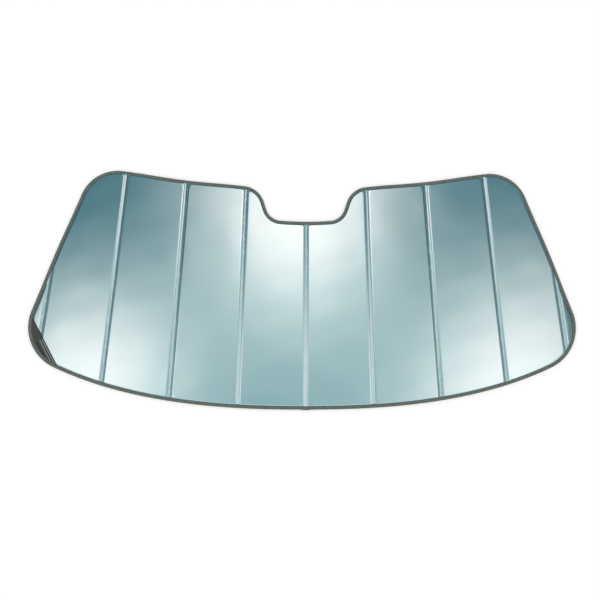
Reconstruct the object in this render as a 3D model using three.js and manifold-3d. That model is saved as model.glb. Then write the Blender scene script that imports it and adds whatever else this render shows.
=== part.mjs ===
// Accordion windscreen sunshade, laid flat with its reflective film up and its back on the ground.
// Millimetres. +X runs across the windscreen, +Y towards the mirror notch, +Z out of the film.
// The origin is the middle of the sheet's own box, at the level of its back.

import * as THREE from 'three';
import Module from 'manifold-3d';
import { mergeVertices } from 'three/addons/utils/BufferGeometryUtils.js';

const wasm = await Module();
wasm.setup();

// Outline, given by the corners of one half before they are rounded.
// Heights are above the middle of the bottom edge, half widths are from the middle of the sheet.
const notchFloorHeight = 486;
const notchFloorSag = 2.3;
const notchFloorHalfWidth = 91.8;
const notchMouthHeight = 572.3;
const notchMouthHalfWidth = 119.6;
const shoulderHeight = 621.9;
const shoulderHalfWidth = 545.3;
const tipHeight = 156.1;
const tipHalfWidth = 742.8;

// Rounding of those corners, and how far the long edges bow out (a negative bow sags in).
const notchFloorRadius = 41.5;
const notchMouthRadius = 57.7;
const shoulderRadius = 101;
const tipRadius = 112.6;
const topEdgeBow = -3.8;
const sideEdgeBow = 2.2;

// The bottom edge leaves the tip at this slope and levels out towards the middle.
const bottomSlope = 25.6;
const bottomTipHandle = 241.3;
const bottomMiddleHandle = 158.6;

// Folds. The middle one lies a little right of the sheet's middle, and three on each side follow it at
// one pitch. The last on each side cuts off a sliver of this width at the tip. All of them point at
// one place far above the sheet, so that they spread towards the bottom edge.
const middleFoldX = 2.4;
const foldPitch = 165.7;
const pitchedFolds = 3;
const tipSliverWidth = 35.4;
const foldApexHeight = 4200;

// Foam-cored board, and the seams welded across it where it folds.
const boardThickness = 5;
const boardEdgeRounding = 2.5;
const seamWidth = 13;
const weldWidth = 8.4;
const weldThickness = 1.2;
const foldGap = 0.3;

// Cloth binding, folded round the crushed edge of the board.
const bindingWidth = 9.7;
const bindingHeight = 4.6;
const bindingCloth = 0.8;
const bindingRounding = 0.6;
const seatGap = 0.3;

// Cloth label on the lower left corner. Its straight inner edge crosses the side fold, at this
// distance from the tip's corner before rounding, and at this angle.
const labelThickness = 0.4;
const labelReach = 76.7;
const labelEdgeAngle = -63;

// Facets: largest distance between an arc and its chord, and steps along the longer curves.
const arcTolerance = 0.1;
const longEdgeSteps = 8;
const bottomSteps = 20;
const floorSteps = 5;
const roundingSteps = 2;
const shoulderSteps = 4;

const radians = THREE.MathUtils.degToRad;

function filmMaterial() {
  return new THREE.MeshStandardMaterial({ color: 0xb3d2d6, metalness: 0.9, roughness: 0.28 });
}

function bindingMaterial() {
  return new THREE.MeshStandardMaterial({ color: 0x6c6a61, metalness: 0, roughness: 0.85 });
}

function labelMaterial() {
  return new THREE.MeshStandardMaterial({ color: 0x414943, metalness: 0, roughness: 0.8 });
}

// Arc of the given radius that rounds a corner, from the leg towards "before" to the leg towards "after".
function fillet(before, corner, after, radius) {
  const toBefore = before.clone().sub(corner).normalize();
  const toAfter = after.clone().sub(corner).normalize();
  const halfAngle = Math.acos(toBefore.dot(toAfter)) / 2;
  const reach = radius / Math.tan(halfAngle);
  const start = corner.clone().addScaledVector(toBefore, reach);
  const end = corner.clone().addScaledVector(toAfter, reach);
  const inward = toBefore.clone().add(toAfter).normalize();
  const centre = corner.clone().addScaledVector(inward, radius / Math.sin(halfAngle));
  const startAngle = start.clone().sub(centre).angle();
  const endAngle = end.clone().sub(centre).angle();
  const clockwise = toBefore.cross(toAfter) > 0;
  const arc = new THREE.EllipseCurve(centre.x, centre.y, radius, radius, startAngle, endAngle, clockwise);
  const turn = Math.PI - 2 * halfAngle;
  const largestStep = 2 * Math.acos(1 - arcTolerance / radius);
  return arc.getPoints(Math.ceil(turn / largestStep));
}

// Points between two ends on an edge that bows to its left, and leaves both ends along their chord.
function bowedEdge(from, to, bow) {
  const chord = to.clone().sub(from);
  const left = new THREE.Vector2(-chord.y, chord.x).normalize();
  const points = [];
  for (let i = 1; i < longEdgeSteps; i += 1) {
    const t = i / longEdgeSteps;
    const rise = bow * Math.sin(Math.PI * t) ** 2;
    points.push(from.clone().addScaledVector(chord, t).addScaledVector(left, rise));
  }
  return points;
}

// Right half of the outline, from the middle of the notch floor round to the middle of the bottom edge.
function rightHalf() {
  const floorMiddle = new THREE.Vector2(0, notchFloorHeight);
  const floorLevel = new THREE.Vector2(0, notchFloorHeight + notchFloorSag);
  const floorCorner = new THREE.Vector2(notchFloorHalfWidth, notchFloorHeight + notchFloorSag);
  const mouthCorner = new THREE.Vector2(notchMouthHalfWidth, notchMouthHeight);
  const shoulder = new THREE.Vector2(shoulderHalfWidth, shoulderHeight);
  const tip = new THREE.Vector2(tipHalfWidth, tipHeight);
  const bottomMiddle = new THREE.Vector2(0, 0);
  const slope = radians(bottomSlope);
  const towardsMiddle = new THREE.Vector2(-Math.cos(slope), -Math.sin(slope));
  const beyondTip = tip.clone().add(towardsMiddle);

  const floorArc = fillet(floorLevel, floorCorner, mouthCorner, notchFloorRadius);
  const mouthArc = fillet(floorCorner, mouthCorner, shoulder, notchMouthRadius);
  const shoulderArc = fillet(mouthCorner, shoulder, tip, shoulderRadius);
  const tipArc = fillet(shoulder, tip, beyondTip, tipRadius);

  const floorEnd = floorArc[0];
  const floorHandle = new THREE.Vector2(floorEnd.x / 2, notchFloorHeight);
  const floor = new THREE.QuadraticBezierCurve(floorMiddle, floorHandle, floorEnd);
  const bottomStart = tipArc.at(-1);
  const tipHandle = bottomStart.clone().addScaledVector(towardsMiddle, bottomTipHandle);
  const middleHandle = new THREE.Vector2(bottomMiddleHandle, 0);
  const bottom = new THREE.CubicBezierCurve(bottomStart, tipHandle, middleHandle, bottomMiddle);

  return [
    ...floor.getPoints(floorSteps).slice(0, -1),
    ...floorArc,
    ...mouthArc,
    ...bowedEdge(mouthArc.at(-1), shoulderArc[0], topEdgeBow),
    ...shoulderArc,
    ...bowedEdge(shoulderArc.at(-1), tipArc[0], sideEdgeBow),
    ...tipArc,
    ...bottom.getPoints(bottomSteps).slice(1),
  ];
}

// Whole outline, counterclockwise, with its heights still above the middle of the bottom edge.
function wholeOutline() {
  const right = rightHalf();
  const left = right.slice(1, -1).map((point) => new THREE.Vector2(-point.x, point.y));
  return [...right.reverse(), ...left];
}

// The outline moved inwards by a distance, corner by corner.
function insetOutline(outline, distance) {
  const count = outline.length;
  return outline.map((point, i) => {
    const before = point.clone().sub(outline[(i + count - 1) % count]).normalize();
    const after = outline[(i + 1) % count].clone().sub(point).normalize();
    const along = before.clone().add(after).normalize();
    const inward = new THREE.Vector2(-along.y, along.x);
    return point.clone().addScaledVector(inward, distance / along.dot(after));
  });
}

// Geometry swept round the outline through a section of [inset, height] points.
// The section turns counterclockwise when the outside lies to its right. It either closes on itself,
// or starts and ends on flat faces that cover the whole sheet.
function sweepRoundSheet(outline, section, closed) {
  const rings = section.map(([inset]) => insetOutline(outline, inset));
  const positions = rings.flatMap((ring, j) => ring.flatMap((point) => [point.x, point.y, section[j][1]]));
  const count = outline.length;
  const indices = [];
  const bands = closed ? section.length : section.length - 1;
  for (let j = 0; j < bands; j += 1) {
    const low = j * count;
    const high = ((j + 1) % section.length) * count;
    for (let i = 0; i < count; i += 1) {
      const next = (i + 1) % count;
      indices.push(low + i, low + next, high + next);
      indices.push(low + i, high + next, high + i);
    }
  }
  if (!closed) {
    const last = (section.length - 1) * count;
    for (const [a, b, c] of THREE.ShapeUtils.triangulateShape(rings[0], [])) {
      indices.push(a, c, b);
    }
    for (const [a, b, c] of THREE.ShapeUtils.triangulateShape(rings.at(-1), [])) {
      indices.push(last + a, last + b, last + c);
    }
  }
  const geometry = new THREE.BufferGeometry();
  geometry.setAttribute('position', new THREE.Float32BufferAttribute(positions, 3));
  geometry.setIndex(indices);
  return geometry;
}

function solidFrom(geometry) {
  const bare = geometry.clone();
  bare.deleteAttribute('normal');
  bare.deleteAttribute('uv');
  const merged = mergeVertices(bare);
  const vertProperties = new Float32Array(merged.attributes.position.array);
  const triVerts = new Uint32Array(merged.index.array);
  return new wasm.Manifold(new wasm.Mesh({ numProp: 3, vertProperties, triVerts }));
}

function geometryFrom(solid) {
  const { vertProperties, triVerts } = solid.getMesh();
  const geometry = new THREE.BufferGeometry();
  geometry.setAttribute('position', new THREE.BufferAttribute(vertProperties, 3));
  geometry.setIndex(new THREE.BufferAttribute(triVerts, 1));
  return geometry;
}

// Quarter round of a foam edge, as [distance outwards, height] pairs from the face down to the edge.
function foamRounding(width, drop, steps) {
  const pairs = [];
  for (let i = 0; i <= steps; i += 1) {
    const angle = (Math.PI / 2) * (i / steps);
    pairs.push([width * Math.sin(angle), drop * Math.cos(angle)]);
  }
  return pairs;
}

// Section of the board's edge: full faces, rounded foam, and a crushed rim that the binding grips.
function boardSection() {
  const rimInset = bindingCloth + seatGap;
  const padInset = bindingWidth + seatGap;
  const rimThickness = bindingHeight - 2 * bindingCloth - 2 * seatGap;
  const middle = boardThickness / 2;
  const drop = (boardThickness - rimThickness) / 2;
  const upper = foamRounding(boardEdgeRounding, drop, roundingSteps).map(([out, height]) => {
    return [padInset + boardEdgeRounding - out, middle + rimThickness / 2 + height];
  });
  const lower = upper.map(([inset, height]) => [inset, boardThickness - height]);
  return [
    ...lower,
    [rimInset, middle - rimThickness / 2],
    [rimInset, middle + rimThickness / 2],
    ...upper.reverse(),
  ];
}

// Section of the binding: a channel of cloth, open towards the board, with its outer corners eased.
function bindingSection() {
  const bottom = (boardThickness - bindingHeight) / 2;
  const top = bottom + bindingHeight;
  return [
    [bindingWidth, bottom],
    [bindingRounding, bottom],
    [0, bottom + bindingRounding],
    [0, top - bindingRounding],
    [bindingRounding, top],
    [bindingWidth, top],
    [bindingWidth, top - bindingCloth],
    [bindingCloth, top - bindingCloth],
    [bindingCloth, bottom + bindingCloth],
    [bindingWidth, bottom + bindingCloth],
  ];
}

// All folds from left to right: where each crosses the middle of the sheet, and how it leans.
function foldLines(outline) {
  const seenFromApex = outline.map((point) => point.x * foldApexHeight / (foldApexHeight - point.y));
  const tipFoldX = Math.max(...seenFromApex) - tipSliverWidth;
  const crossings = [-tipFoldX];
  for (let i = -pitchedFolds; i <= pitchedFolds; i += 1) {
    crossings.push(middleFoldX + i * foldPitch);
  }
  crossings.push(tipFoldX);
  return crossings.map((x) => ({ x, lean: Math.atan(x / foldApexHeight) }));
}

// Cutter for one face's half of a seam: a trough along the fold, with the foam rounded down to the weld.
function seamCutter(fold, length, upper) {
  const drop = (boardThickness - weldThickness) / 2;
  const weldHeight = boardThickness - drop;
  const clear = boardThickness;
  const rounding = foamRounding((seamWidth - weldWidth) / 2, drop, shoulderSteps);
  const right = rounding.map(([out, height]) => new THREE.Vector2(seamWidth / 2 - out, weldHeight + height));
  const left = right.map((point) => new THREE.Vector2(-point.x, point.y));
  const trough = new THREE.Shape([
    ...left,
    ...right.reverse(),
    new THREE.Vector2(seamWidth / 2, boardThickness + clear),
    new THREE.Vector2(-seamWidth / 2, boardThickness + clear),
  ]);
  const geometry = new THREE.ExtrudeGeometry(trough, { depth: length, bevelEnabled: false, steps: 1 });
  geometry.translate(0, upper ? 0 : -boardThickness, -length / 2);
  if (!upper) {
    geometry.rotateZ(Math.PI);
  }
  const across = new THREE.Vector3(Math.cos(fold.lean), Math.sin(fold.lean), 0);
  const up = new THREE.Vector3(0, 0, 1);
  const along = new THREE.Vector3().crossVectors(across, up);
  const place = new THREE.Matrix4().makeBasis(across, up, along).setPosition(fold.x, 0, 0);
  return solidFrom(geometry.applyMatrix4(place));
}

// Upright prism that keeps what lies between two folds, short of each by half the gap.
function panelPrism(leftFold, rightFold, reach) {
  const edgeX = (fold, y, side) => fold.x - y * Math.tan(fold.lean) + (side * foldGap) / 2 / Math.cos(fold.lean);
  const region = new THREE.Shape([
    new THREE.Vector2(edgeX(leftFold, -reach, 1), -reach),
    new THREE.Vector2(edgeX(rightFold, -reach, -1), -reach),
    new THREE.Vector2(edgeX(rightFold, reach, -1), reach),
    new THREE.Vector2(edgeX(leftFold, reach, 1), reach),
  ]);
  const geometry = new THREE.ExtrudeGeometry(region, { depth: 3 * boardThickness, bevelEnabled: false });
  return solidFrom(geometry.translate(0, 0, -boardThickness));
}

// Upright prism that keeps what lies between the label's inner edge and the tip's corner, and beyond.
function labelPrism(tipCorner, reach) {
  const geometry = new THREE.BoxGeometry(2 * reach, reach, 4 * boardThickness);
  geometry.translate(0, labelReach - reach / 2, 0);
  geometry.rotateZ(radians(labelEdgeAngle));
  geometry.translate(tipCorner.x, tipCorner.y, 0);
  return solidFrom(geometry);
}

const sunshade = new THREE.Group();

function addPiece(name, solid, material) {
  const mesh = new THREE.Mesh(geometryFrom(solid), material);
  mesh.name = name;
  sunshade.add(mesh);
}

// Separate solids of a cut piece, from the highest on the sheet to the lowest.
function piecesFromTop(solid) {
  const middleY = (piece) => piece.boundingBox().min[1] + piece.boundingBox().max[1];
  return solid.decompose().sort((a, b) => middleY(b) - middleY(a));
}

const uncentred = wholeOutline();
const outlineBox = new THREE.Box2().setFromPoints(uncentred);
const middle = outlineBox.getCenter(new THREE.Vector2());
const outline = uncentred.map((point) => point.clone().sub(middle));
const reach = outlineBox.getSize(new THREE.Vector2()).length();
const folds = foldLines(outline);

let board = solidFrom(sweepRoundSheet(outline, boardSection(), false));
for (const fold of folds) {
  board = board.subtract(seamCutter(fold, reach, true)).subtract(seamCutter(fold, reach, false));
}
const binding = solidFrom(sweepRoundSheet(outline, bindingSection(), true));

const leftEnd = { x: -reach, lean: 0 };
const rightEnd = { x: reach, lean: 0 };
const cuts = [leftEnd, ...folds, rightEnd];
for (let i = 1; i < cuts.length; i += 1) {
  const prism = panelPrism(cuts[i - 1], cuts[i], reach);
  addPiece(`panel_${i}`, board.intersect(prism), filmMaterial());
  const strips = piecesFromTop(binding.intersect(prism));
  if (strips.length === 1) {
    addPiece(`binding_side_${i}`, strips[0], bindingMaterial());
  } else {
    addPiece(`binding_top_${i}`, strips[0], bindingMaterial());
    addPiece(`binding_bottom_${i}`, strips[1], bindingMaterial());
  }
}

const labelBottom = boardThickness + seatGap;
const labelInset = bindingWidth + seatGap;
const labelSection = [[labelInset, labelBottom], [labelInset, labelBottom + labelThickness]];
const labelBlank = solidFrom(sweepRoundSheet(outline, labelSection, false));
const tipCorner = new THREE.Vector2(-tipHalfWidth, tipHeight).sub(middle);
addPiece('corner_label', labelBlank.intersect(labelPrism(tipCorner, reach)), labelMaterial());

export default sunshade;
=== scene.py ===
"""Looks of a folding windscreen sunshade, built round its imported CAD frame.

Shapes are worked out in millimetres, in the frame's own axes, and a mesh is made from them in metres.
"""

import math
import random

import bpy
import numpy as np
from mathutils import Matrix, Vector
from mathutils.geometry import delaunay_2d_cdt
from mathutils.kdtree import KDTree

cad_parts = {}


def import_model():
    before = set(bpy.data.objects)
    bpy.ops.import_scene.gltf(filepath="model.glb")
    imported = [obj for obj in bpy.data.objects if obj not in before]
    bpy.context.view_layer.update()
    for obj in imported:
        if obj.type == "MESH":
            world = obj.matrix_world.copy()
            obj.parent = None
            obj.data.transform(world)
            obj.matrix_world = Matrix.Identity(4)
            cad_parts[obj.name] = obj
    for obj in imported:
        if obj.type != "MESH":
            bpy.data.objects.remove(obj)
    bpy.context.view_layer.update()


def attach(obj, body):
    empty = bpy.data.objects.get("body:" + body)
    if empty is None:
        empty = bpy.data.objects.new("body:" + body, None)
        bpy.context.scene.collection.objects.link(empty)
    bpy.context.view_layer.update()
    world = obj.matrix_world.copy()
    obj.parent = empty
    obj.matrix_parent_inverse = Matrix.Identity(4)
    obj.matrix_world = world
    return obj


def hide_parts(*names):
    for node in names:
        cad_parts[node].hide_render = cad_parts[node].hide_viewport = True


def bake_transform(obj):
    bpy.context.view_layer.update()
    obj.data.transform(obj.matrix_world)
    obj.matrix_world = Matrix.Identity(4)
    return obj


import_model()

METRES = 0.001

# Outline of one half before its corners are rounded, as the CAD source has it.
NOTCH_FLOOR = (91.8, 486.0)
NOTCH_FLOOR_SAG = 2.3
NOTCH_MOUTH = (119.6, 572.3)
SHOULDER = (545.3, 621.9)
TIP = (742.8, 156.1)
FLOOR_RADIUS = 41.5
MOUTH_RADIUS = 57.7
SHOULDER_RADIUS = 101.0
TIP_RADIUS = 112.6
TOP_EDGE_BOW = -3.8
SIDE_EDGE_BOW = 2.2
BOTTOM_SLOPE = math.radians(25.6)
BOTTOM_TIP_HANDLE = 241.3
BOTTOM_MIDDLE_HANDLE = 158.6
CURVE_STEPS = 60
OUTLINE_STEP = 1.6

# Folds, which all point at one place far above the sheet.
FOLD_APEX = 4200.0
MIDDLE_FOLD = 2.4
FOLD_PITCH = 165.7
PITCHED_FOLDS = 3
TIP_SLIVER = 35.4

# Board, weld and binding.
BOARD = 5.0
BINDING_WIDTH = 9.7
RIM_INSET = 1.6
RIM_TOP = 3.65


def unit(v):
    return v / np.linalg.norm(v)


def unit_rows(v):
    return v / np.maximum(np.linalg.norm(v, axis=1), 1e-9)[:, None]


def fillet(before, corner, after, radius):
    """Arc that rounds a corner, from the leg towards before to the leg towards after."""
    to_before, to_after = unit(before - corner), unit(after - corner)
    half = math.acos(float(to_before @ to_after)) / 2
    centre = corner + unit(to_before + to_after) * radius / math.sin(half)
    start = corner + to_before * radius / math.tan(half) - centre
    turn = math.pi - 2 * half
    if to_before[0] * to_after[1] - to_before[1] * to_after[0] > 0:
        turn = -turn
    angles = np.linspace(0, turn, CURVE_STEPS)
    cos, sin = np.cos(angles), np.sin(angles)
    return np.stack([centre[0] + start[0] * cos - start[1] * sin,
                     centre[1] + start[0] * sin + start[1] * cos], 1)


def bowed_edge(start, end, bow):
    """Points between two ends on an edge that bows to its left."""
    chord = end - start
    left = unit(np.array([-chord[1], chord[0]]))
    t = np.linspace(0, 1, CURVE_STEPS)[1:-1, None]
    return start + chord * t + left * bow * np.sin(math.pi * t) ** 2


def bezier(*handles):
    """Points on the Bezier curve that starts at the first handle and ends at the last."""
    t = np.linspace(0, 1, CURVE_STEPS)[:, None]
    level = [np.asarray(h, float) + 0 * t for h in handles]
    while len(level) > 1:
        level = [a * (1 - t) + b * t for a, b in zip(level, level[1:])]
    return level[0]


def whole_outline():
    """The sheet's outline, counterclockwise, centred on its own box."""
    floor = np.array([NOTCH_FLOOR[0], NOTCH_FLOOR[1] + NOTCH_FLOOR_SAG])
    level = np.array([0.0, floor[1]])
    mouth, shoulder, tip = (np.array(p) for p in (NOTCH_MOUTH, SHOULDER, TIP))
    towards_middle = -np.array([math.cos(BOTTOM_SLOPE), math.sin(BOTTOM_SLOPE)])
    floor_arc = fillet(level, floor, mouth, FLOOR_RADIUS)
    mouth_arc = fillet(floor, mouth, shoulder, MOUTH_RADIUS)
    shoulder_arc = fillet(mouth, shoulder, tip, SHOULDER_RADIUS)
    tip_arc = fillet(shoulder, tip, tip + towards_middle, TIP_RADIUS)
    right = np.concatenate([
        bezier((0, NOTCH_FLOOR[1]), (floor_arc[0][0] / 2, NOTCH_FLOOR[1]), floor_arc[0])[:-1],
        floor_arc,
        mouth_arc,
        bowed_edge(mouth_arc[-1], shoulder_arc[0], TOP_EDGE_BOW),
        shoulder_arc,
        bowed_edge(shoulder_arc[-1], tip_arc[0], SIDE_EDGE_BOW),
        tip_arc,
        bezier(tip_arc[-1], tip_arc[-1] + towards_middle * BOTTOM_TIP_HANDLE,
               (BOTTOM_MIDDLE_HANDLE, 0), (0, 0))[1:],
    ])
    loop = np.concatenate([right[::-1], right[1:-1] * (-1, 1)])
    return loop - (0, (loop[:, 1].max() + loop[:, 1].min()) / 2)


def resampled(loop, step):
    """A closed loop with points at equal distances of about step."""
    closed = np.vstack([loop, loop[:1]])
    along = np.concatenate([[0], np.cumsum(np.linalg.norm(np.diff(closed, axis=0), axis=1))])
    count = max(8, round(along[-1] / step))
    at = np.linspace(0, along[-1], count, endpoint=False)
    return np.stack([np.interp(at, along, closed[:, k]) for k in (0, 1)], 1)


def inward_normals(loop):
    """For each point of a counterclockwise loop, the direction into it."""
    along = unit_rows(np.roll(loop, -1, 0) - np.roll(loop, 1, 0))
    return np.stack([-along[:, 1], along[:, 0]], 1)


OUTLINE = resampled(whole_outline(), OUTLINE_STEP)
INWARD = inward_normals(OUTLINE)


def inset(distance):
    """The sheet's outline moved inwards."""
    return OUTLINE + INWARD * distance


def fold_crossings():
    """Where each fold crosses y = 0, from left to right."""
    tip = (OUTLINE[:, 0] * FOLD_APEX / (FOLD_APEX - OUTLINE[:, 1])).max() - TIP_SLIVER
    inner = [MIDDLE_FOLD + i * FOLD_PITCH for i in range(-PITCHED_FOLDS, PITCHED_FOLDS + 1)]
    return [-tip, *inner, tip]


FOLDS = fold_crossings()
PANELS = len(FOLDS) + 1


def fold_axes(fold):
    """A fold's own place, its direction across (to the right) and its direction along (upwards)."""
    lean = math.atan(FOLDS[fold] / FOLD_APEX)
    across = np.array([math.cos(lean), math.sin(lean)])
    along = np.array([-math.sin(lean), math.cos(lean)])
    return np.array([FOLDS[fold], 0.0]), across, along


def right_of(points, fold):
    """How far points lie to the right of a fold."""
    place, across, _ = fold_axes(fold)
    return (points - place) @ across


def clipped(loop, distances):
    """The part of a closed loop where distances, one for each point, are not negative."""
    kept = []
    for i in range(len(loop)):
        j = (i + 1) % len(loop)
        a, b = distances[i], distances[j]
        if a >= 0:
            kept.append(loop[i])
        if (a >= 0) != (b >= 0):
            kept.append(loop[i] + (loop[j] - loop[i]) * a / (a - b))
    return np.array(kept)


def spaced(loop, step):
    """A closed loop whose points lie about step apart, with its corners kept."""
    before = unit_rows(loop - np.roll(loop, 1, 0))
    after = unit_rows(np.roll(loop, -1, 0) - loop)
    corner = (before * after).sum(1) < 0.9
    starts = np.flatnonzero(corner)
    if len(starts) == 0:
        return resampled(loop, step)
    pieces = []
    for s, e in zip(starts, np.append(starts[1:], starts[0] + len(loop))):
        run = loop[np.arange(s, e + 1) % len(loop)]
        along = np.concatenate([[0], np.cumsum(np.linalg.norm(np.diff(run, axis=0), axis=1))])
        count = max(1, round(along[-1] / step))
        at = np.linspace(0, along[-1], count, endpoint=False)
        pieces.append(np.stack([np.interp(at, along, run[:, k]) for k in (0, 1)], 1))
    return np.concatenate(pieces)


def panel_ring(panel, edge_inset, fold_inset, step):
    """A panel's outline, moved in from the sheet's edge and from the panel's own folds."""
    loop = inset(edge_inset)
    if panel > 1:
        loop = clipped(loop, right_of(loop, panel - 2) - fold_inset)
    if panel < PANELS:
        loop = clipped(loop, -right_of(loop, panel - 1) - fold_inset)
    return spaced(loop, step)


def edge_tree():
    """The outline's points, kept so that the nearest one is found fast."""
    tree = KDTree(len(OUTLINE))
    for i, (x, y) in enumerate(OUTLINE.tolist()):
        tree.insert((x, y, 0), i)
    tree.balance()
    return tree


EDGE_TREE = edge_tree()


def nearest_on_edge(points):
    """For each point, which point of the outline lies nearest."""
    return np.array([EDGE_TREE.find((x, y, 0))[1] for x, y in points.tolist()])


def edge_distance(points):
    """How far points lie inside the sheet's edge."""
    near = nearest_on_edge(points)
    return ((points - OUTLINE[near]) * INWARD[near]).sum(1)


def fold_distance(points):
    """How far points lie from the nearest fold."""
    return np.min([np.abs(right_of(points, f)) for f in range(len(FOLDS))], 0)


# How the film sinks towards a fold: a steep step beside the weld, which starts a little under the weld's
# own edge, and a gentle fall before the step.
WELD_EDGE = 5.0
WELD_OVERLAP = 0.2
FOLD_STEP = 0.6
FOLD_STEP_DEPTH = 1.3
FOLD_STEP_ROUNDNESS = 2.0
FOLD_FALL = 3.2
FOLD_FALL_DEPTH = 0.15
FOLD_FALL_ROUNDNESS = 1.5

# A straighter fall that some folds have on their side towards the sheet's middle: its reach, and its depth
# for each such fold, counted from 0 at the left tip.
INNER_FALL = 3.0
INNER_FALL_DEPTHS = {2: 0.35, 6: 0.4, 7: 0.15}

# How the film falls outwards on the right tip's narrow board.
TIP_SLOPE = 0.055
TIP_SLOPE_START = 10.0

# How the faces sink towards the binding.
EDGE_START = 9.0
EDGE_SHOULDER = 4.2
EDGE_ROUNDNESS = 1.6

# How much of the shoulder's breadth is left away from the sheet's two ends, and where the ends begin.
SHORT_SHOULDER = 0.3
ENDS_BEGIN = 500.0
ENDS_BLEND = 80.0

# How much less of the sheet the binding covers at the top than at the foot, and over what height that
# changes.
TOP_NARROWING = 1.9
NARROWING_HEIGHT = 200.0

# Gentle unevenness of the film, which fades out before the binding and the welds.
RIPPLE_SEED = 11
RIPPLE_WAVES = 7
RIPPLE_LENGTHS = (70, 190)
RIPPLE_HEIGHT = 0.12
RIPPLE_FADE = 30
RIPPLE_EDGE_START = 12
RIPPLE_FOLD_START = 6


def sink(distance, start, reach, depth, roundness):
    """A fall that is deepest at its start and runs out at its reach."""
    t = np.clip((distance - start) / reach, 0, 1)
    return depth * (1 - t) ** roundness


def blended(first, second):
    """The larger of two depths, rounded over where they are alike."""
    return (first ** 4 + second ** 4) ** 0.25


def inner_fall(points):
    """How deep the straighter fall is at points, which is 0 where they have none."""
    depth = np.zeros(len(points))
    for fold, fall in INNER_FALL_DEPTHS.items():
        towards_middle = right_of(points, fold) * -np.sign(FOLDS[fold])
        depth[(towards_middle > 0) & (towards_middle < FOLD_PITCH / 2)] = fall
    return depth


def fold_sink(points):
    """How far the faces lie below their full height for the folds' sake alone."""
    away = fold_distance(points)
    start = WELD_EDGE - WELD_OVERLAP
    inner = inner_fall(points)
    return (sink(away, start, FOLD_STEP, FOLD_STEP_DEPTH - inner, FOLD_STEP_ROUNDNESS)
            + sink(away, start, FOLD_FALL, FOLD_FALL_DEPTH, FOLD_FALL_ROUNDNESS)
            + sink(away, start, INNER_FALL, inner, 1.0))


def edge_sink(points):
    """How far the faces lie below their full height for the binding's sake alone."""
    covered = edge_distance(points) + narrowing(points)
    at_end = np.clip((np.abs(points[:, 0]) - ENDS_BEGIN) / ENDS_BLEND, 0, 1)
    upright = INWARD[nearest_on_edge(points)][:, 0] ** 2 * at_end
    shoulder = EDGE_SHOULDER * (SHORT_SHOULDER + (1 - SHORT_SHOULDER) * upright)
    return sink(covered, EDGE_START, shoulder, BOARD - RIM_TOP, EDGE_ROUNDNESS)


def face_sink(points):
    """How far the board's faces lie below their full height."""
    return blended(fold_sink(points), edge_sink(points))


def narrowing(points):
    """How much less the binding covers at a place than at the sheet's foot."""
    return TOP_NARROWING * np.clip(points[:, 1] / NARROWING_HEIGHT + 0.5, 0, 1)


def ripple(points):
    """The film's unevenness, as a sum of a few waves that run in all directions."""
    draw = random.Random(RIPPLE_SEED)
    total = np.zeros(len(points))
    for _ in range(RIPPLE_WAVES):
        turn = draw.uniform(0, math.tau)
        length = draw.uniform(*RIPPLE_LENGTHS)
        phase = draw.uniform(0, math.tau)
        total += np.sin((points @ (math.cos(turn), math.sin(turn))) * math.tau / length + phase)
    inside_edge = edge_distance(points) - RIPPLE_EDGE_START
    beside_fold = fold_distance(points) - RIPPLE_FOLD_START
    fade = np.clip(np.minimum(inside_edge, beside_fold) / RIPPLE_FADE, 0, 1)
    return total * RIPPLE_HEIGHT / RIPPLE_WAVES * fade


def film_height(points):
    """Height of the film over the ground."""
    tip_fall = TIP_SLOPE * np.clip(right_of(points, len(FOLDS) - 1) - TIP_SLOPE_START, 0, None)
    return BOARD - blended(face_sink(points), tip_fall) + ripple(points)


def mesh_object(name, vertices, faces, materials, kinds):
    """An object made from vertices in millimetres, with which of its materials each face has."""
    mesh = bpy.data.meshes.new(name)
    mesh.from_pydata((np.asarray(vertices, float) * METRES).tolist(), [], faces)
    for material in materials:
        mesh.materials.append(material)
    mesh.polygons.foreach_set("material_index", np.asarray(kinds, np.int32))
    mesh.polygons.foreach_set("use_smooth", np.full(len(mesh.polygons), True))
    mesh.validate()
    mesh.update()
    piece = bpy.data.objects.new(name, mesh)
    bpy.context.scene.collection.objects.link(piece)
    return piece


def point_attribute(piece, name, values):
    """Stores a vector for each point, here where it lies along and across the cloth."""
    attribute = piece.data.attributes.new(name, "FLOAT_VECTOR", "POINT")
    attribute.data.foreach_set("vector", np.asarray(values, np.float32).ravel())


# Materials.


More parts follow.
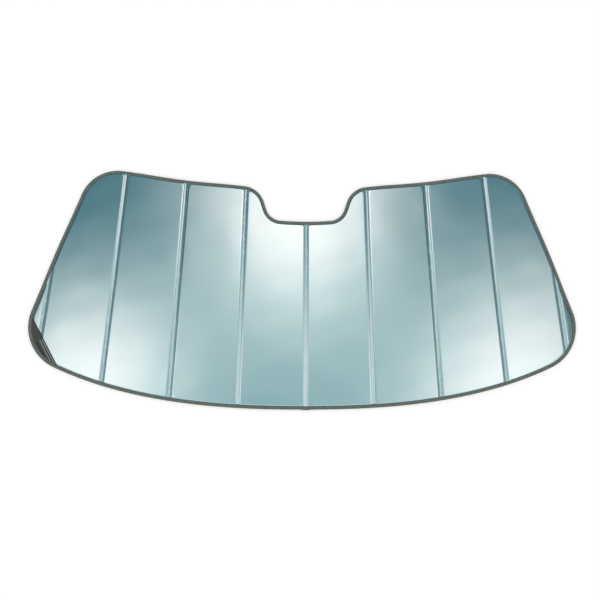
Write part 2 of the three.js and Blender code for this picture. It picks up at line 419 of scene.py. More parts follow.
class Nodes:
    """Short calls for building one material's node tree."""

    def __init__(self, name):
        self.material = bpy.data.materials.new(name)
        self.material.use_nodes = True
        self.tree = self.material.node_tree
        self.shader = self.tree.nodes["Principled BSDF"]

    def node(self, kind, values=None, **settings):
        """A node with its settings, and a value or a link for each of its inputs that values names."""
        made = self.tree.nodes.new(kind)
        for key, value in settings.items():
            setattr(made, key, value)
        for key, value in (values or {}).items():
            if isinstance(value, bpy.types.NodeSocket):
                self.tree.links.new(value, made.inputs[key])
            else:
                made.inputs[key].default_value = value
        return made

    def math(self, operation, *values):
        return self.node("ShaderNodeMath", dict(enumerate(values)), operation=operation).outputs[0]

    def noise(self, vector, scale, detail=3.0, roughness=0.5):
        values = {"Vector": vector, "Scale": scale, "Detail": detail, "Roughness": roughness}
        return self.node("ShaderNodeTexNoise", values).outputs["Fac"]

    def spread(self, value, low, high):
        """A value from 0 to 1 moved to a range."""
        values = {"Value": value, "To Min": low, "To Max": high}
        return self.node("ShaderNodeMapRange", values).outputs[0]

    def ramp(self, value, *stops):
        """A colour ramp through stops, each of a position and a colour or a grey level."""
        made = self.node("ShaderNodeValToRGB", {"Fac": value})
        elements = made.color_ramp.elements
        while len(elements) < len(stops):
            elements.new(0.5)
        for element, (position, shade) in zip(elements, stops):
            element.position = position
            element.color = (*(shade if isinstance(shade, tuple) else (shade,) * 3), 1)
        return made.outputs["Color"]

    def mix(self, factor, first, second):
        """Two colours blended by a factor."""
        made = self.node("ShaderNodeMix", data_type="RGBA")
        for key, value in ((0, factor), (6, first), (7, second)):
            if isinstance(value, bpy.types.NodeSocket):
                self.tree.links.new(value, made.inputs[key])
            elif key == 0:
                made.inputs[key].default_value = value
            else:
                made.inputs[key].default_value = (*value, 1)
        return made.outputs[2]

    def times(self, first, second):
        """Two colours multiplied."""
        made = self.node("ShaderNodeMix", data_type="RGBA", blend_type="MULTIPLY")
        made.inputs[0].default_value = 1.0
        self.tree.links.new(first, made.inputs[6])
        self.tree.links.new(second, made.inputs[7])
        return made.outputs[2]

    def bump(self, height, distance, strength=1.0):
        values = {"Height": height, "Distance": distance, "Strength": strength}
        self.set("Normal", self.node("ShaderNodeBump", values).outputs[0])

    def set(self, socket, value):
        """Gives one of the shader's sockets a value or a link."""
        if isinstance(value, bpy.types.NodeSocket):
            self.tree.links.new(value, self.shader.inputs[socket])
        else:
            self.shader.inputs[socket].default_value = value

    def place(self):
        return self.node("ShaderNodeTexCoord").outputs["Object"]

    def attribute(self, name):
        """The three numbers of a vector that the mesh stores for each point."""
        found = self.node("ShaderNodeAttribute", attribute_name=name).outputs["Vector"]
        return self.node("ShaderNodeSeparateXYZ", {0: found}).outputs


# Scales of noise and dots are in cells for each metre, and a bump's distance is in metres.
FILM_TINT = (0.46, 0.67, 0.70)
WELD_TINT = (0.43, 0.645, 0.69)
SCUFFED_TINT = (0.62, 0.74, 0.77)
# The pale colour that the embossed dots are painted with: a painted glint for the light their embossing
# catches.
DOT_GLINT_TINT = (0.74, 0.90, 0.92)
FILM_CLOUDS = 7
FILM_GRAIN = 1400
FILM_SPECKS = 260
WELD_DOTS = 210.0
WELD_STRETCHES = 16
FILM_BUMP = 0.00006


def film_material(name, colour, scuffed, roughness, embossing_and_glint):
    """Metallised film: a cool tint, fine unevenness in its gloss, rubbed specks, and embossed dots whose
    pale colour is a painted glint.
    """
    n = Nodes(name)
    place = n.place()
    cloud = n.noise(place, FILM_CLOUDS, 2)
    grain = n.noise(place, FILM_GRAIN, 2)
    speck = n.ramp(n.noise(place, FILM_SPECKS, 4, 0.7), (0.6, 0), (0.78, 1))
    tint = n.mix(cloud, [c * 0.985 for c in colour], [min(1, c * 1.015) for c in colour])
    rubbed = n.mix(n.math("MULTIPLY", speck, scuffed), tint, SCUFFED_TINT)
    cells = {"Vector": place, "Scale": WELD_DOTS, "Randomness": 0.7}
    to_dot = n.node("ShaderNodeTexVoronoi", cells).outputs["Distance"]
    dot = n.ramp(to_dot, (0.16, 1), (0.42, 0))
    stretch = n.ramp(n.noise(place, WELD_STRETCHES, 1), (0.38, 0.3), (0.55, 1))
    pressed = n.math("MULTIPLY", n.math("MULTIPLY", dot, stretch), embossing_and_glint)
    # The embossed dots are painted pale here, a painted glint for the light their embossing catches; their
    # roughness and bump below are the real relief.
    n.set("Base Color", n.mix(n.math("MULTIPLY", pressed, 0.9), rubbed, DOT_GLINT_TINT))
    n.set("Metallic", 1.0)
    clouded = n.spread(cloud, roughness * 0.92, roughness * 1.08)
    gloss = n.math("ADD", clouded, n.math("MULTIPLY", speck, 0.05))
    n.set("Roughness", n.math("ADD", gloss, n.math("MULTIPLY", pressed, 0.12)))
    n.bump(n.math("MULTIPLY_ADD", pressed, -1.0, n.math("MULTIPLY", grain, 0.12)), FILM_BUMP)
    return n.material


def backing_material():
    """Dark non-woven cloth bonded to the back of the foam."""
    n = Nodes("backing_cloth")
    place = n.place()
    fibre = n.noise(place, 900, 5, 0.65)
    blotch = n.noise(place, 35, 3)
    dark = n.ramp(fibre, (0.3, (0.028, 0.029, 0.031)), (0.7, (0.075, 0.077, 0.08)))
    n.set("Base Color", n.mix(n.spread(blotch, 0.0, 0.35), dark, (0.085, 0.087, 0.09)))
    n.set("Roughness", 0.92)
    n.set("Sheen Weight", 0.25)
    n.set("Sheen Roughness", 0.5)
    n.bump(fibre, 0.00015, 0.7)
    return n.material


# The tape's weave, the wider slanting shadows along it, and the length over which its shading from the
# sheet's edge to its lip is laid.
RIB_PITCH = 1.3
WARP_PITCH = 0.9
SHADOW_PITCH = 13
SHADOW_SLANT = 1.3
SHADOW_DRIFT = 9.0
SHADING_SPAN = 11.5
TAPE_DARK = (0.079, 0.100, 0.086)
TAPE_PALE = (0.158, 0.196, 0.168)
TAPE_WORN = (0.24, 0.275, 0.245)


def tape_material():
    """Woven binding tape: cross ribs and worn flecks, with painted shade where it turns round the sheet's
    edge and at its inner lip, a painted highlight between, and painted slanting shadows along it.
    """
    n = Nodes("binding_tape")
    along, across, _ = n.attribute("tape")
    rib = n.math("SINE", n.math("MULTIPLY", along, math.tau / RIB_PITCH))
    warp = n.math("SINE", n.math("MULTIPLY", across, math.tau / WARP_PITCH))
    weave = n.math("MULTIPLY_ADD", n.math("MULTIPLY", rib, warp), 0.25, 0.5)
    # Painted shade and highlight round the tape's section: darker where it turns round the sheet's edge,
    # lightest part-way over its face, and darker again at its inner lip.
    from_edge = n.math("MULTIPLY", n.math("ABSOLUTE", across), 1 / SHADING_SPAN)
    edge = n.ramp(from_edge, (0.0, 0.6), (0.30, 0.85), (0.58, 1), (0.80, 0.72), (0.92, 0.45))
    cloth = n.mix(weave, TAPE_DARK, TAPE_PALE)
    fleck = n.ramp(n.noise(n.place(), 330, 3, 0.6), (0.42, 0), (0.66, 1))
    worn = n.mix(n.math("MULTIPLY", fleck, 0.6), cloth, TAPE_WORN)
    drift = n.math("MULTIPLY", n.noise(n.place(), 90, 2), SHADOW_DRIFT)
    slanted = n.math("ADD", along, n.math("MULTIPLY", across, SHADOW_SLANT))
    wave = n.math("SINE", n.math("MULTIPLY_ADD", slanted, math.tau / SHADOW_PITCH, drift))
    shadow = n.ramp(n.math("MULTIPLY_ADD", wave, 0.5, 0.5), (0.15, 0.74), (0.85, 1))
    n.set("Base Color", n.times(n.times(worn, edge), shadow))
    n.set("Roughness", 0.85)
    n.set("Sheen Weight", 0.2)
    n.set("Sheen Roughness", 0.4)
    n.bump(weave, 0.00025, 0.8)
    return n.material


def thread_material(name, colour):
    """Sewing thread, a little uneven in its colour along its twist."""
    n = Nodes(name)
    twist = n.noise(n.place(), 2500, 2)
    n.set("Base Color", n.mix(twist, [c * 0.75 for c in colour], [c * 1.2 for c in colour]))
    n.set("Roughness", 0.6)
    n.set("Sheen Weight", 0.3)
    n.bump(twist, 0.00008, 0.5)
    return n.material


LABEL_DARK = (0.052, 0.064, 0.054)
LABEL_PALE = (0.33, 0.36, 0.33)
LABEL_BLACK = (0.012, 0.014, 0.013)
LABEL_TWILL = (0.02, 0.024, 0.021)
TWILL_PITCH = 0.8
# How far along the label its stripes begin, and over what width across it their ramp is laid.
STRIPES_BEGIN = (60.0, 62.0)
STRIPES_WIDTH = 50


def label_material():
    """Dark twill label with pale and black stripes along its inner edge's lower part."""
    n = Nodes("label_cloth")
    along, across, _ = n.attribute("label")
    twill = n.math("SINE", n.math("MULTIPLY", n.math("ADD", along, across), math.tau / TWILL_PITCH))
    weave = n.math("MULTIPLY_ADD", twill, 0.5, 0.5)
    dark, pale, black = LABEL_DARK, LABEL_PALE, LABEL_BLACK
    share = n.math("MULTIPLY", across, 1 / STRIPES_WIDTH)
    stripes = n.ramp(share, (0.0, black), (0.06, pale), (0.10, dark), (0.195, pale), (0.23, dark),
                     (0.345, black), (0.405, dark))
    stripes.node.color_ramp.interpolation = "CONSTANT"
    begin, full = STRIPES_BEGIN
    bounds = {"Value": along, "From Min": begin, "From Max": full}
    striped = n.node("ShaderNodeMapRange", bounds).outputs[0]
    plain = n.ramp(share, (0.04, black), (0.06, dark))
    cloth = n.mix(striped, plain, stripes)
    n.set("Base Color", n.mix(n.math("MULTIPLY", weave, 0.35), cloth, LABEL_TWILL))
    n.set("Roughness", 0.8)
    n.set("Sheen Weight", 0.3)
    n.set("Sheen Roughness", 0.4)
    n.bump(weave, 0.00012, 0.7)
    return n.material


film = film_material("reflective_film", FILM_TINT, 0.10, 0.11, 0.0)
weld_film = film_material("welded_film", WELD_TINT, 0.35, 0.10, 1.0)
backing = backing_material()
tape = tape_material()
tape_thread = thread_material("binding_thread", (0.13, 0.135, 0.12))
label_cloth = label_material()
label_thread = thread_material("label_thread", (0.03, 0.033, 0.03))


# Boards.

# Rings of points inside a board's outline, closest where its faces curve: how far in each lies from the
# sheet's edge and from the board's folds.
RINGS = [
    (RIM_INSET, 4.75), (6.0, 4.9), (7.4, 5.02), (8.6, 5.14), (9.5, 5.28), (10.5, 5.45), (11.5, 5.8),
    (12.5, 6.5), (13.5, 7.1), (15.5, 7.8), (19.0, 9.6), (24.0, 14.0), (32.0, 22.0),
]
RING_STEP = 4.5
GRID_STEP = 11.0
TIP_RING_LIMIT = TIP_SLIVER - 9


def flat_triangles(loops, grid_step):
    """Triangles that fill nested loops, which are kept as edges, and a grid inside the last loop."""
    points = np.concatenate(loops)
    edges, first = [], 0
    for loop in loops:
        count = len(loop)
        edges += [(first + i, first + (i + 1) % count) for i in range(count)]
        first += count
    inner = loops[-1]
    low, high = inner.min(0), inner.max(0)
    grid = np.stack(np.meshgrid(np.arange(low[0], high[0], grid_step),
                                np.arange(low[1], high[1], grid_step)), -1).reshape(-1, 2)
    grid[:, 0] += grid_step / 2 * (np.round((grid[:, 1] - low[1]) / grid_step) % 2)
    grid = grid[inside(grid, inner, grid_step * 0.5)]
    points = np.concatenate([points, grid])
    made = delaunay_2d_cdt([tuple(p) for p in points.tolist()], edges, [], 1, 1e-5)
    vertices = np.array([tuple(v) for v in made[0]])
    return vertices, [tuple(f) for f in made[2]]


def inside(points, loop, margin):
    """Which points lie inside a closed loop by more than a margin."""
    a, b = loop, np.roll(loop, -1, 0)
    x, y = points[:, 0, None], points[:, 1, None]
    crosses = (a[:, 1] > y) != (b[:, 1] > y)
    rise = np.where(b[:, 1] == a[:, 1], 1e-12, b[:, 1] - a[:, 1])
    hit = crosses & (x < a[:, 0] + (y - a[:, 1]) * (b[:, 0] - a[:, 0]) / rise)
    odd = hit.sum(1) % 2 == 1
    clear = np.array([np.linalg.norm(loop - p, axis=1).min() for p in points]) > margin
    return odd & clear


def rim_edges(faces):
    """The edges that only one face uses, as that face turns."""
    used = {}
    for face in faces:
        for a, b in zip(face, face[1:] + face[:1]):
            used[(a, b)] = True
    return [(a, b) for a, b in used if (b, a) not in used]


def two_faced(flat, faces, top, bottom):
    """A closed mesh between two heights over the same flat triangles, and which faces are the top's."""
    count = len(flat)
    vertices = np.concatenate([np.column_stack([flat, top]), np.column_stack([flat, bottom])])
    upper = faces
    lower = [tuple(v + count for v in reversed(face)) for face in faces]
    wall = [(b, a, a + count, b + count) for a, b in rim_edges(faces)]
    return vertices, upper + lower + wall, [0] * len(upper) + [1] * (len(lower) + len(wall))


def counterclockwise(flat, faces):
    """Faces turned so that they all run counterclockwise seen from above."""
    def area(face):
        a, b, c = (flat[i] for i in face[:3])
        return (b[0] - a[0]) * (c[1] - a[1]) - (b[1] - a[1]) * (c[0] - a[0])
    return [face if area(face) > 0 else tuple(reversed(face)) for face in faces]


def widest_ring(panel):
    """The most that a ring may be moved in from both sides, which a narrow tip limits."""
    return TIP_RING_LIMIT if panel in (1, PANELS) else FOLD_PITCH / 2


def board(panel):
    """One foam-cored board: film above, non-woven cloth below, its edges crushed into weld and binding."""
    rings = [panel_ring(panel, e, f, RING_STEP) for e, f in RINGS if e + f < widest_ring(panel)]
    flat, faces = flat_triangles(rings, GRID_STEP)
    faces = counterclockwise(flat, faces)
    low = face_sink(flat)
    vertices, faces, kinds = two_faced(flat, faces, film_height(flat), low)
    piece = mesh_object(f"board_{panel}", vertices, faces, [film, backing], kinds)
    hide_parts(f"panel_{panel}")
    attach(piece, f"leaf_{panel}")


for number in range(1, PANELS + 1):
    board(number)


# Welds. Each is a strip of pressed film along a fold, between two leaves.

# Each weld is a shallow valley: the height of its lowest line, and how steep its two sides are.
WELD_LOW = 2.9
WELD_SLOPE = 0.07
WELD_STEP = 1.2
WELD_COLUMNS = 21
WELD_INSET = 5.0

# Two staggered rows of dashes are pressed into it, beside its lowest line.
DASH_ROWS = 2.3
DASH_PITCH = 6.0
DASH_LENGTH = 3.4
DASH_HALF_WIDTH = 1.3
DASH_DEPTH = 0.10
DASH_END = 0.8
DASH_FLATNESS = 1.3


def span_on_fold(fold, across, edge_inset):
    """Where a line beside a fold enters and leaves the sheet, measured along the fold."""
    loop = inset(edge_inset)
    place, right, up = fold_axes(fold)
    side = (loop - place) @ right - across
    height = (loop - place) @ up
    following, next_height = np.roll(side, -1), np.roll(height, -1)
    crossing = np.flatnonzero((side >= 0) != (following >= 0))
    at = height[crossing] + (next_height - height)[crossing] * side[crossing] / (
        side[crossing] - following[crossing])
    return at.min(), at.max()


def weld_relief(along, across):
    """How far the weld's face is pressed in by the two rows of dashes."""
    beside_row = np.abs(np.abs(across) - DASH_ROWS)
    in_row = np.clip(DASH_FLATNESS * (1 - beside_row / DASH_HALF_WIDTH), 0, 1)
    place = (along / DASH_PITCH + 0.5 * (across > 0)) % 1 - 0.5
    in_dash = np.clip((DASH_LENGTH / 2 - np.abs(place) * DASH_PITCH) / DASH_END, 0, 1)
    return DASH_DEPTH * in_row * in_dash


def weld(fold):
    """One weld: pressed film above and cloth below, with its ends under the binding."""
    across = np.linspace(-WELD_EDGE, WELD_EDGE, WELD_COLUMNS)
    spans = np.array([span_on_fold(fold, a, WELD_INSET) for a in across])
    rows = round((spans[:, 1] - spans[:, 0]).max() / WELD_STEP)
    share = np.linspace(0, 1, rows + 1)[:, None]
    along = spans[:, 0] + (spans[:, 1] - spans[:, 0]) * share
    place, right, up = fold_axes(fold)
    flat = place + along[..., None] * up + (across[:, None] * right)[None]
    top = WELD_LOW + WELD_SLOPE * np.abs(across) - weld_relief(along, across[None] + 0 * along)
    bottom = BOARD - top
    count = WELD_COLUMNS
    corners = [r * count + c for r in range(rows) for c in range(count - 1)]
    grid = [(c, c + 1, c + count + 1, c + count) for c in corners]
    vertices, faces, kinds = two_faced(flat.reshape(-1, 2), grid, top.ravel(), bottom.ravel())
    piece = mesh_object(f"weld_{fold + 1}", vertices, faces, [weld_film, backing], kinds)
    bend(piece)


def bend(piece):
    """Bakes the placing of a piece that lies across a fold into its mesh."""
    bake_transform(piece)


for number in range(len(FOLDS)):
    weld(number)


# Binding: a tape folded round the edge and sewn through, in rigid runs and short bends at the folds.

# The upper half of the tape's section: how far in from the sheet's edge, and how high, along its outside
# from its inner lip, at the edge itself, and along its inside. The lower half is the mirror image.
TAPE_OUTSIDE = [
    (9.7, 3.85), (9.5, 4.25), (9.0, 4.5), (7.6, 4.68), (5.2, 4.8), (2.9, 4.7), (1.3, 4.3), (0.4, 3.6),
]
TAPE_EDGE = (0.05, 2.5)
TAPE_INSIDE = [(2.0, 3.6), (6.0, 3.8)]
TAPE_CREASE = (1.2, 2.5)
TAPE_STEP = float(np.linalg.norm(OUTLINE[1] - OUTLINE[0]))
BEND_MARGIN = 4.5

STITCH_PITCH = 3.6
STITCH_LENGTH = 2.9
STITCH_RADIUS = 0.26
STITCH_INSET = 7.4
STITCH_HEIGHT = 4.68
STITCH_SIDES = 5
STITCH_RINGS = 5
# How high a stitch's middle rises and how much its ends dip, in its own radii, and how much it tapers.
STITCH_RISE = 0.55
STITCH_DIP = 1.25
STITCH_TAPER = 0.55

# The inner edge's sideways drift: its size, where on the section it starts, and each wave's length, phase
# and share.
EDGE_WANDER = 0.22
WANDER_START = 5.0
WANDER_WAVES = [(23.0, 0.0, 1.0), (9.1, 1.3, 0.6), (51.0, 0.4, 0.4)]

# The overlap where the tape's two ends meet.
JOIN_HALF_LENGTH = 11.0
JOIN_REACH = 1.4
JOIN_THICKENING = 0.09


def run_of_each_point():
    """For each outline point, the leaf that carries its tape, or minus the fold that it crosses."""
    ends = [right_of(inset(d), f) for f in range(len(FOLDS)) for d in (0.0, BINDING_WIDTH)]
    leaf = np.ones(len(OUTLINE), int)
    crossing = np.zeros(len(OUTLINE), int)
    for fold in range(len(FOLDS)):
        outer, inner = ends[2 * fold], ends[2 * fold + 1]
        leaf += ((outer + inner) / 2 > 0).astype(int)
        low, high = np.minimum(outer, inner), np.maximum(outer, inner)
        crossing[(low < BEND_MARGIN) & (high > -BEND_MARGIN)] = fold + 1
    return np.where(crossing > 0, -crossing, leaf)


def runs(labels):
    """(label, indices) for each stretch of the closed outline, with the first point of the next."""
    count = len(labels)
    starts = [i for i in range(count) if labels[i] != labels[i - 1]]
    found = []
    for i, start in enumerate(starts):
        end = starts[(i + 1) % len(starts)]
        if end <= start:
            end += count
        found.append((int(labels[start]), np.arange(start, end + 1) % count))
    return found


def tape_section():
    """The tape's closed section, from its upper lip round the sheet's edge and back along its inside."""
    outside, inside = np.array(TAPE_OUTSIDE), np.array(TAPE_INSIDE)
    mirror = np.array([1, -1])
    ground = np.array([0, BOARD])
    return np.concatenate([
        outside, [TAPE_EDGE], outside[::-1] * mirror + ground,
        inside[::-1] * mirror + ground, [TAPE_CREASE], inside,
    ])


def section_lengths(section):
    """How far each point of the tape's section lies round it, from the sheet's edge."""
    along = np.concatenate([[0], np.cumsum(np.linalg.norm(np.diff(section, axis=0), axis=1))])
    return along - along[len(TAPE_OUTSIDE)]


def wander(at):
    """Small sideways drift of the tape's inner edge, as sewing leaves it."""
    waves = [share * math.sin(at / length + phase) for length, phase, share in WANDER_WAVES]
    return EDGE_WANDER * sum(waves)


def join_swell(point):
    """How much of the bump a place has where the tape's two ends overlap, at the foot of the middle fold."""
    away = abs(point[0] - MIDDLE_FOLD) if point[1] < 0 else JOIN_HALF_LENGTH * 4
    return float(np.exp(-(away / JOIN_HALF_LENGTH) ** 4))


def tape_row(i, section):
    """The tape's section at one outline point."""
    inner_share = np.clip((section[:, 0] - WANDER_START) / (BINDING_WIDTH - WANDER_START), 0, 1)
    swell = join_swell(OUTLINE[i])
    drift = wander(i * TAPE_STEP) - narrowing(OUTLINE[i:i + 1])
    distance = section[:, 0] + inner_share * drift - JOIN_REACH * swell
    flat = OUTLINE[i] + INWARD[i] * distance[:, None]
    height = BOARD / 2 + (section[:, 1] - BOARD / 2) * (1 + JOIN_THICKENING * swell)
    return np.column_stack([flat, np.maximum(height, 0.0)])


def tape_run(indices):
    """Vertices, faces and tape coordinates of one stretch of tape, closed at both ends."""
    section = tape_section()
    count = len(section)
    lengths = section_lengths(section)
    rows = [tape_row(i, section) for i in indices]
    coordinates = [np.column_stack([np.full(count, i * TAPE_STEP), lengths, np.zeros(count)])
                   for i in indices]
    faces = []
    for r in range(len(indices) - 1):
        for c in range(count):
            d = (c + 1) % count
            faces.append((r * count + c, (r + 1) * count + c, (r + 1) * count + d, r * count + d))
    last = (len(indices) - 1) * count
    faces.append(tuple(range(count)))
    faces.append(tuple(last + c for c in reversed(range(count))))
    return np.concatenate(rows), faces, np.concatenate(coordinates)


def stitch(middle, along, up, length, radius):
    """A short thread that dips into the cloth at both ends."""
    sides, rings = STITCH_SIDES, STITCH_RINGS
    side = np.cross(up, along)
    vertices, faces = [], []
    for r in range(rings):
        t = r / (rings - 1) * 2 - 1
        centre = middle + along * t * length / 2 + up * radius * (STITCH_RISE - STITCH_DIP * t ** 4)
        width = radius * (1 - STITCH_TAPER * t ** 6)
        for s in range(sides):
            angle = math.tau * s / sides
            vertices.append(centre + (side * math.cos(angle) + up * math.sin(angle)) * width)
    for r in range(rings - 1):
        for s in range(sides):
            e = (s + 1) % sides
            faces.append((r * sides + s, r * sides + e, (r + 1) * sides + e, (r + 1) * sides + s))
    faces.append(tuple(reversed(range(sides))))
    faces.append(tuple((rings - 1) * sides + s for s in range(sides)))
    return vertices, faces


def add_part(vertices, faces, made, made_faces):
    """Appends one part's vertices and faces to a piece's lists."""
    faces += [tuple(v + len(vertices) for v in face) for face in made_faces]
    vertices += [tuple(v) for v in made]


def tape_stitches(indices):
    """The stitches of one stretch of tape, on its upper and lower faces."""
    per_stitch = STITCH_PITCH / TAPE_STEP
    first = math.ceil(indices[0] / per_stitch)
    last = math.ceil((indices[0] + len(indices) - 1) / per_stitch)
    vertices, faces = [], []
    for k in range(first, last):
        at = k * per_stitch
        i = int(at) % len(OUTLINE)
        j = (i + 1) % len(OUTLINE)
        share = at - int(at)
        inward = INWARD[i] * (1 - share) + INWARD[j] * share
        reach = STITCH_INSET - float(narrowing(OUTLINE[i:i + 1])[0])
        place = OUTLINE[i] * (1 - share) + OUTLINE[j] * share + inward * reach
        along = np.array([inward[1], -inward[0], 0.0])
        for height, up in ((STITCH_HEIGHT, 1.0), (BOARD - STITCH_HEIGHT, -1.0)):
            middle = np.array([*place, height])
            made = stitch(middle, along, np.array([0, 0, up]), STITCH_LENGTH, STITCH_RADIUS)
            add_part(vertices, faces, *made)
    return vertices, faces


def tape_piece(name, stretches):
    """One object of tape and thread made from stretches of the outline."""
    vertices, faces, kinds, coordinates = [], [], [], []
    for indices in stretches:
        cloth, cloth_faces, places = tape_run(indices)
        threads, thread_faces = tape_stitches(indices)
        add_part(vertices, faces, cloth, cloth_faces)
        add_part(vertices, faces, threads, thread_faces)
        kinds += [0] * len(cloth_faces) + [1] * len(thread_faces)
        coordinates += [*places, *np.zeros((len(threads), 3))]
    piece = mesh_object(name, vertices, faces, [tape, tape_thread], kinds)
    point_attribute(piece, "tape", coordinates)
    return piece


def binding():
    """All of the binding: one piece for each run on a leaf, and one for both bends of each fold."""
    bends = {}
    for leaf, indices in runs(run_of_each_point()):
        if leaf < 0:
            bends.setdefault(-leaf, []).append(indices)
            continue
        side = "top" if OUTLINE[indices].mean(0)[1] > 0 else "bottom"
        if leaf in (1, PANELS):
            side = "side"
        piece = tape_piece(f"tape_{side}_{leaf}", [indices])
        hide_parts(f"binding_{side}_{leaf}")
        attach(piece, f"leaf_{leaf}")
    for fold, stretches in sorted(bends.items()):
        piece = tape_piece(f"tape_bend_{fold}", stretches)
        bend(piece)


binding()


# Label.

# Its inner edge is straight: how far it lies from the outline's unrounded tip, and its direction.
LABEL_REACH = 76.7
LABEL_ANGLE = math.radians(-63)
LABEL_INSET = 8.6
LABEL_THICKNESS = 0.42
LABEL_GAP = 0.12
# How much of the trough over the weld the label bridges.
TROUGH_FILL = 0.75

LABEL_HEM = 3.2
HEM_THICKNESS = 0.25
HEM_SLOPE = 0.8
RIM_THINNESS = 0.35
RIM_REACH = 0.5
LABEL_MARGINS = (0.0, 0.5, 1.6, LABEL_HEM)
LABEL_RING_STEP = 2.5
LABEL_GRID_STEP = 3.0

HEM_STITCH_INSET = 1.7
HEM_STITCH_PITCH = 2.8
HEM_STITCH_LENGTH = 2.2
HEM_STITCH_RADIUS = 0.2
HEM_STITCH_START = 5
HEM_STITCH_END = 4


def label_axes():
    """A point on the label's inner edge, the edge's direction, and the direction from it to the tip."""
    corner = np.array([-TIP[0], TIP[1] - OUTLINE[:, 1].max()])
    along = np.array([math.cos(LABEL_ANGLE), math.sin(LABEL_ANGLE)])
    outward = np.array([along[1], -along[0]])
    return corner - outward * LABEL_REACH, along, outward


def label_loop(margin):
    """The label's outline, moved inwards by a margin."""
    place, _, outward = label_axes()
    loop = inset(LABEL_INSET + margin)
    return clipped(loop, (loop - place) @ outward - margin)


def label_rest(points):
    """Height of the label's lower face, which follows the board and sinks a little over the weld."""
    at_edge = edge_sink(points)
    trough = face_sink(points) - at_edge
    return BOARD - (at_edge + trough * (1 - TROUGH_FILL)) + LABEL_GAP


def hem_stitches(first, last):
    """Vertices and faces of the stitches in the hem, between two places along the inner edge."""
    place, along, outward = label_axes()
    vertices, faces = [], []
    at = first + HEM_STITCH_START
    while at < last - HEM_STITCH_END:
        spot = place + outward * HEM_STITCH_INSET + along * (at - place @ along)
        level = label_rest(spot[None])[0] + LABEL_THICKNESS + HEM_THICKNESS
        made = stitch(np.array([*spot, level]), np.array([*along, 0.0]), np.array([0, 0, 1.0]),
                      HEM_STITCH_LENGTH, HEM_STITCH_RADIUS)
        add_part(vertices, faces, *made)
        at += HEM_STITCH_PITCH
    return vertices, faces


def label():
    """The cloth label: a thin sheet with a thinner rim, a hem on its inner edge, and the hem's stitches."""
    place, along, outward = label_axes()
    loops = [spaced(label_loop(margin), LABEL_RING_STEP) for margin in LABEL_MARGINS]
    flat, faces = flat_triangles(loops, LABEL_GRID_STEP)
    faces = counterclockwise(flat, faces)
    across = (flat - place) @ outward
    reach = flat @ along
    rest = label_rest(flat)
    hem = HEM_THICKNESS * np.clip((LABEL_HEM - across) / HEM_SLOPE, 0, 1)
    rim = np.clip(np.minimum(across, edge_distance(flat) - LABEL_INSET) / RIM_REACH, 0, 1)
    top = rest + (LABEL_THICKNESS + hem) * (RIM_THINNESS + (1 - RIM_THINNESS) * rim)
    cloth, cloth_faces, _ = two_faced(flat, faces, top, rest)
    inner_edge = reach[across < 0.3]
    threads, thread_faces = hem_stitches(inner_edge.min(), inner_edge.max())
    vertices, faces = [], []
    add_part(vertices, faces, cloth, cloth_faces)
    add_part(vertices, faces, threads, thread_faces)
    kinds = [0] * len(cloth_faces) + [1] * len(thread_faces)
    places = np.column_stack([reach - reach.min(), across, 0 * across])
    piece = mesh_object("corner_patch", vertices, faces, [label_cloth, label_thread], kinds)
    point_attribute(piece, "label", [*places, *places, *np.zeros((len(threads), 3))])
    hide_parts("corner_label")
    bend(piece)


label()


# Camera, world, lamp and floor.

# The camera looks almost straight down. From here on places are in metres, and turns in degrees.
CAMERA_PLACE = (-0.199, -0.023, 3.495)
CAMERA_TURN = (-0.016, -3.047, 0.19)
LENS = 81.12


def camera():
    """A long lens over the sheet, as the photo's view has it."""
    data = bpy.data.cameras.new("camera")
    data.lens = LENS
    data.sensor_width = 36.0
    data.clip_end = 50
    made = bpy.data.objects.new("camera", data)
    made.location = CAMERA_PLACE
    made.rotation_euler = [math.radians(a) for a in CAMERA_TURN]
    bpy.context.scene.collection.objects.link(made)
    bpy.context.scene.camera = made


# Large soft boxes overhead, as gloss sees them: where each hangs, as sideways reach over height, how far
# it spreads, how it is turned, and its light.
SOFT_BOXES = [
    ((0.052, 0.079), (0.043, 0.060), 0, (2.84, 1.83, 1.62)),
    ((-0.104, -0.060), (0.046, 0.040), 43, (2.18, 1.34, 1.20)),
    ((0.214, -0.068), (0.064, 0.047), 64, (2.00, 1.22, 1.10)),
]
# How fast each box's red, green and blue fade towards its rim, which makes the rim a little bluer.
BOX_FRINGE = (1.06, 0.98, 0.95)
CEILING_FAR = (0.083, 0.215, 0.255)
CEILING_NEAR = (0.435, 0.55, 0.56)
CEILING_TURNS = (-0.09, 0.10)
ROOM_MIDDLE = 0.057
SIDE_WALLS = (0.215, 0.275)
WALLS_FAR = (0.11, 0.16, 0.19)
WALLS_NEAR = (0.33, 0.41, 0.41)
WALL_HEIGHTS = (0.925, 0.965)
BACKDROP_HEIGHTS = (0.35, 0.62)
FRONT_WINDOW = (-0.45, -0.16)
EVEN_LIGHT = 0.95
WHITE = (1.0, 1.0, 1.0)
# Sight lines lower than this count as this low, so that nothing is divided by 0.
LOWEST_SIGHT = 0.05


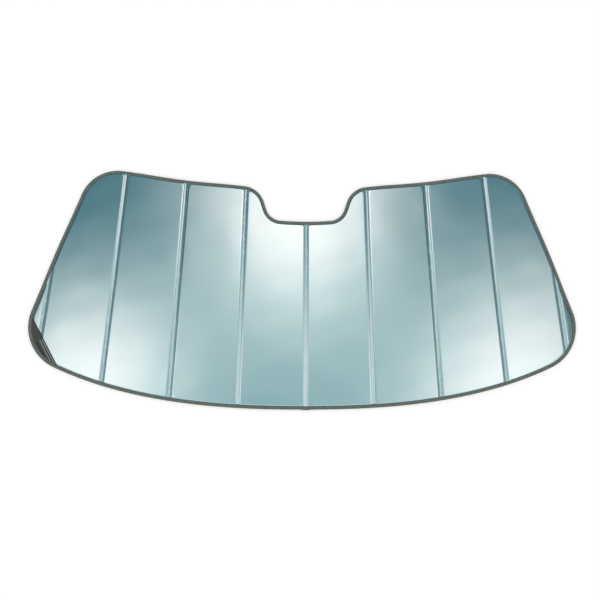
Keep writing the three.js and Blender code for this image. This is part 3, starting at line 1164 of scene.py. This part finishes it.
class WorldNodes(Nodes):
    """The same short calls for the world's node tree."""

    def __init__(self, world):
        self.tree = world.node_tree

    def soft_box(self, sideways, below, centre, spread, turn, light):
        """Adds one soft box's light to the colour that lies below it."""
        at = self.node("ShaderNodeMapping", {"Vector": sideways}, vector_type="TEXTURE")
        at.inputs["Location"].default_value = (*centre, 0)
        at.inputs["Rotation"].default_value = (0, 0, math.radians(turn))
        at.inputs["Scale"].default_value = (*spread, 1)
        away = self.node("ShaderNodeVectorMath", {0: at.outputs[0]}, operation="LENGTH").outputs["Value"]
        fall = self.math("EXPONENT", self.math("MULTIPLY", self.math("POWER", away, 2.0), -0.5))
        falls = {i: self.math("POWER", fall, fringe) for i, fringe in enumerate(BOX_FRINGE)}
        shape = self.node("ShaderNodeCombineXYZ", falls).outputs[0]
        lit = self.node("ShaderNodeVectorMath", {0: light, 1: shape}, operation="MULTIPLY")
        return self.node("ShaderNodeVectorMath", {0: below, 1: lit.outputs[0]}).outputs[0]

    def smooth(self, value, low, high):
        """A value from 0 at low to 1 at high, with soft ends."""
        values = {"Value": value, "From Min": low, "From Max": high}
        return self.node("ShaderNodeMapRange", values, interpolation_type="SMOOTHSTEP").outputs[0]


def studio_for_gloss(n):
    """Soft boxes under a ceiling between side walls, before a white backdrop and a white front."""
    towards = n.node("ShaderNodeTexCoord").outputs["Generated"]
    x, y, height = n.node("ShaderNodeSeparateXYZ", {0: towards}).outputs
    over = n.math("MAXIMUM", height, LOWEST_SIGHT)
    rightward = n.math("DIVIDE", x, over)
    forward = n.math("DIVIDE", y, over)
    sideways = n.node("ShaderNodeCombineXYZ", {0: rightward, 1: forward}).outputs[0]
    far = n.smooth(forward, *CEILING_TURNS)
    light = n.mix(far, CEILING_NEAR, CEILING_FAR)
    for box in SOFT_BOXES:
        light = n.soft_box(sideways, light, *box)
    walls = n.mix(far, WALLS_NEAR, WALLS_FAR)
    aside = n.math("ABSOLUTE", n.math("SUBTRACT", rightward, ROOM_MIDDLE))
    light = n.mix(n.smooth(aside, *SIDE_WALLS), light, walls)
    room = n.mix(n.smooth(height, *WALL_HEIGHTS), walls, light)
    studio = n.mix(n.smooth(height, *BACKDROP_HEIGHTS), WHITE, room)
    return n.mix(n.smooth(forward, *FRONT_WINDOW), WHITE, studio)


def world():
    """White for the camera, an even light for cloth, and the studio for gloss."""
    made = bpy.data.worlds.new("studio")
    made.use_nodes = True
    bpy.context.scene.world = made
    n = WorldNodes(made)
    studio = studio_for_gloss(n)
    path = n.node("ShaderNodeLightPath").outputs
    mirrored = n.math("MAXIMUM", path["Is Glossy Ray"], path["Is Transmission Ray"])
    plain = n.mix(path["Is Camera Ray"], (EVEN_LIGHT,) * 3, WHITE)
    n.tree.links.new(n.mix(mirrored, plain, studio), n.tree.nodes["Background"].inputs["Color"])


LAMP_PLACE = (-1.6, 1.4, 3.2)
LAMP_SIZE = 2.4
LAMP_POWER = 6.0


def lamp():
    """One large soft lamp high at the upper left, for the shadows' direction."""
    data = bpy.data.lights.new("soft_lamp", "AREA")
    data.size = LAMP_SIZE
    data.energy = LAMP_POWER
    made = bpy.data.objects.new("soft_lamp", data)
    made.location = LAMP_PLACE
    made.rotation_euler = (-Vector(LAMP_PLACE)).to_track_quat("-Z", "Y").to_euler()
    made.visible_glossy = False
    bpy.context.scene.collection.objects.link(made)


FLOOR_SIZE = 12.0
FLOOR_LEVEL = -0.0006
FLOOR_COLOUR = 0.84
FLOOR_LIFT = 0.20


def floor():
    """Pale floor that reads white for the camera and still takes the object's shadow."""
    size, low = FLOOR_SIZE, FLOOR_LEVEL
    corners = [(-size, -size, low), (size, -size, low), (size, size, low), (-size, size, low)]
    mesh = bpy.data.meshes.new("floor")
    mesh.from_pydata(corners, [], [(0, 1, 2, 3)])
    made = bpy.data.objects.new("floor", mesh)
    n = Nodes("pale_floor")
    n.set("Base Color", (FLOOR_COLOUR, FLOOR_COLOUR, FLOOR_COLOUR, 1))
    n.set("Roughness", 0.9)
    n.set("Emission Color", (*WHITE, 1))
    path = n.node("ShaderNodeLightPath").outputs
    seen = n.math("MAXIMUM", path["Is Camera Ray"], path["Is Glossy Ray"])
    n.set("Emission Strength", n.math("MULTIPLY", seen, FLOOR_LIFT))
    mesh.materials.append(n.material)
    bpy.context.scene.collection.objects.link(made)


camera()
world()
lamp()
floor()

bpy.context.scene.view_settings.view_transform = "Standard"
